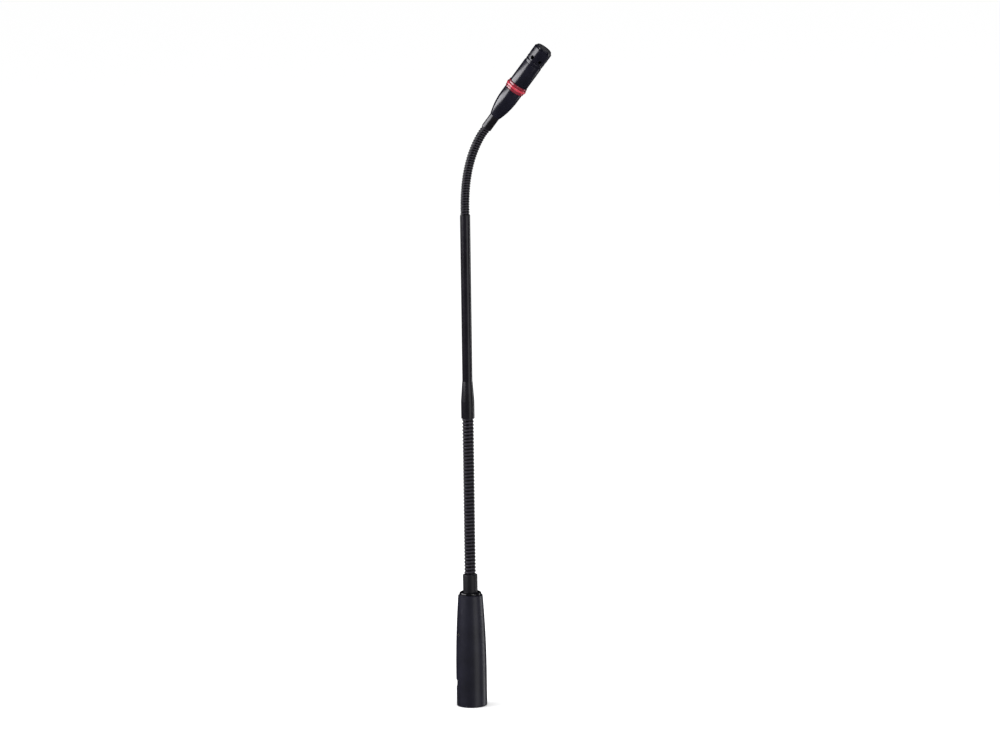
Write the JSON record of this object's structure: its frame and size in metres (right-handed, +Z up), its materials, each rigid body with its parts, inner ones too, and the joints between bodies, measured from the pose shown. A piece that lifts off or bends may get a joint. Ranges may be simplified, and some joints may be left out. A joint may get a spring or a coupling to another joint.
{
  "type": "gooseneck podium microphone",
  "caption": "Slim podium microphone on a rigid stem between two flexible necks, with a lit ring behind its capsule and a panel-socket plug at its base.",
  "frame": {"origin": "centre of the plug's open rim, where it enters a panel socket", "axes": "+Z up the plug's axis towards the neck, -X towards the latch window; the neck bends over in a vertical plane 22 degrees clockwise of +X seen from above"},
  "size_m": [0.0618, 0.0344, 0.4119],
  "materials": {
    "shell_black": "matte black enamel on the plug shell",
    "bright_steel": "plain steel screw",
    "insert_plastic": "black moulded insulator",
    "contact_metal": "silver plated contact",
    "lead_insulation": "red wire insulation",
    "circuit_board": "green solder resist",
    "capacitor_can": "drawn aluminium can",
    "chip_black": "moulded black package",
    "gloss_black": "polished black gland ring",
    "collar_black": "satin black collar",
    "coil_wire": "satin black coiled wire",
    "cable_jacket": "black cable jacket",
    "ferrule_black": "satin black ferrule",
    "stem_black": "satin black tube",
    "head_black": "semi-gloss black head",
    "light_red": "clear red light ring",
    "lamp_lens": "lamp lens",
    "gasket_rubber": "soft black rubber",
    "capsule_can": "drawn aluminium cartridge",
    "foam_black": "open black foam",
    "grille_black": "black perforated sheet"
  },
  "bodies": {
    "plug": {"plug_shell": "shell_black", "shell_screw": "bright_steel", "contact_insert": "insert_plastic", "contact_pin_1": "contact_metal", "contact_pin_2": "contact_metal", "contact_pin_3": "contact_metal", "pin_lead": "lead_insulation", "preamp_board": "circuit_board", "board_carrier": "insert_plastic", "coupling_capacitors": "capacitor_can", "preamp_chip": "chip_black", "preamp_transistor": "chip_black", "board_resistors": "chip_black", "ground_spring": "contact_metal", "gland_ring": "gloss_black", "neck_collar": "collar_black", "lower_coil_root": "coil_wire", "signal_cable": "cable_jacket"},
    "lower_link_1": {"lower_coil_1": "coil_wire"},
    "lower_link_2": {"lower_coil_2": "coil_wire"},
    "lower_link_3": {"lower_coil_3": "coil_wire"},
    "lower_link_4": {"lower_coil_4": "coil_wire"},
    "lower_link_5": {"lower_coil_5": "coil_wire"},
    "lower_link_6": {"lower_coil_6": "coil_wire"},
    "stem": {"lower_coil_end": "coil_wire", "reducer_ferrule": "ferrule_black", "stem_tube": "stem_black", "upper_coil_root": "coil_wire"},
    "upper_link_1": {"upper_coil_1": "coil_wire"},
    "upper_link_2": {"upper_coil_2": "coil_wire"},
    "upper_link_3": {"upper_coil_3": "coil_wire"},
    "upper_link_4": {"upper_coil_4": "coil_wire"},
    "upper_link_5": {"upper_coil_5": "coil_wire"},
    "upper_link_6": {"upper_coil_6": "coil_wire"},
    "upper_link_7": {"upper_coil_7": "coil_wire"},
    "head": {"upper_coil_end": "coil_wire", "head_ferrule": "ferrule_black", "tail_cone": "head_black", "light_ring": "light_red", "lamp_board": "circuit_board", "ring_lamps": "lamp_lens", "barrel": "head_black", "capsule_joint": "head_black", "front_cap": "head_black", "capsule_gasket": "gasket_rubber", "capsule": "capsule_can", "capsule_board": "circuit_board", "capsule_leads": "contact_metal", "foam_disc": "foam_black", "grille_mesh": "grille_black", "grille_rim": "head_black"}
  },
  "joints": [
    {"name": "lower_nod_1", "type": "hinge", "parent": "plug", "child": "lower_link_1", "pos_m": [0, 0, 0.09129], "axis": [0.3746, 0.9272, 0], "range_deg": [-16, 16], "deforming": ["signal_cable"]},
    {"name": "lower_sway_1", "type": "hinge", "parent": "lower_link_1", "child": "lower_link_2", "pos_m": [0, 0, 0.10433], "axis": [0.9272, -0.3746, 0], "range_deg": [-16, 16]},
    {"name": "lower_nod_2", "type": "hinge", "parent": "lower_link_2", "child": "lower_link_3", "pos_m": [0, 0, 0.11737], "axis": [0.3746, 0.9272, 0], "range_deg": [-16, 16]},
    {"name": "lower_nod_3", "type": "hinge", "parent": "lower_link_3", "child": "lower_link_4", "pos_m": [0, 0, 0.13041], "axis": [0.3746, 0.9272, 0], "range_deg": [-16, 16]},
    {"name": "lower_nod_4", "type": "hinge", "parent": "lower_link_4", "child": "lower_link_5", "pos_m": [0, 0, 0.14345], "axis": [0.3746, 0.9272, 0], "range_deg": [-16, 16]},
    {"name": "lower_sway_2", "type": "hinge", "parent": "lower_link_5", "child": "lower_link_6", "pos_m": [0, 0, 0.15649], "axis": [0.9272, -0.3746, 0], "range_deg": [-16, 16]},
    {"name": "lower_nod_5", "type": "hinge", "parent": "lower_link_6", "child": "stem", "pos_m": [0, 0, 0.16953], "axis": [0.3746, 0.9272, 0], "range_deg": [-16, 16]},
    {"name": "upper_nod_1", "type": "hinge", "parent": "stem", "child": "upper_link_1", "pos_m": [0, 0, 0.31278], "axis": [0.3746, 0.9272, 0], "range_deg": [-13, 8.6]},
    {"name": "upper_sway_1", "type": "hinge", "parent": "upper_link_1", "child": "upper_link_2", "pos_m": [0.00027, -0.00011, 0.31925], "axis": [0.9228, -0.3728, -0.0973], "range_deg": [-16, 16]},
    {"name": "upper_nod_2", "type": "hinge", "parent": "upper_link_2", "child": "upper_link_3", "pos_m": [0.00085, -0.00034, 0.3257], "axis": [0.3746, 0.9272, 0], "range_deg": [-13, 8.6]},
    {"name": "upper_nod_3", "type": "hinge", "parent": "upper_link_3", "child": "upper_link_4", "pos_m": [0.00183, -0.00074, 0.3321], "axis": [0.3746, 0.9272, 0], "range_deg": [-13, 8.6]},
    {"name": "upper_nod_4", "type": "hinge", "parent": "upper_link_4", "child": "upper_link_5", "pos_m": [0.00324, -0.00131, 0.33839], "axis": [0.3746, 0.9272, 0], "range_deg": [-13, 8.6]},
    {"name": "upper_nod_5", "type": "hinge", "parent": "upper_link_5", "child": "upper_link_6", "pos_m": [0.00515, -0.00208, 0.34454], "axis": [0.3746, 0.9272, 0], "range_deg": [-13, 8.6]},
    {"name": "upper_sway_2", "type": "hinge", "parent": "upper_link_6", "child": "upper_link_7", "pos_m": [0.00758, -0.00306, 0.35047], "axis": [0.8056, -0.3255, -0.495], "range_deg": [-16, 16]},
    {"name": "upper_nod_6", "type": "hinge", "parent": "upper_link_7", "child": "head", "pos_m": [0.01056, -0.00426, 0.35609], "axis": [0.3746, 0.9272, 0], "range_deg": [-13, 8.6]}
  ],
  "couplings": [
    {"joint": "lower_nod_2", "follows": "lower_nod_1", "ratio": 1},
    {"joint": "lower_nod_3", "follows": "lower_nod_1", "ratio": 1},
    {"joint": "lower_nod_4", "follows": "lower_nod_1", "ratio": 1},
    {"joint": "lower_sway_2", "follows": "lower_sway_1", "ratio": 1},
    {"joint": "lower_nod_5", "follows": "lower_nod_1", "ratio": 1},
    {"joint": "upper_nod_2", "follows": "upper_nod_1", "ratio": 1},
    {"joint": "upper_nod_3", "follows": "upper_nod_1", "ratio": 1},
    {"joint": "upper_nod_4", "follows": "upper_nod_1", "ratio": 1},
    {"joint": "upper_nod_5", "follows": "upper_nod_1", "ratio": 1},
    {"joint": "upper_sway_2", "follows": "upper_sway_1", "ratio": 1},
    {"joint": "upper_nod_6", "follows": "upper_nod_1", "ratio": 1}
  ]
}
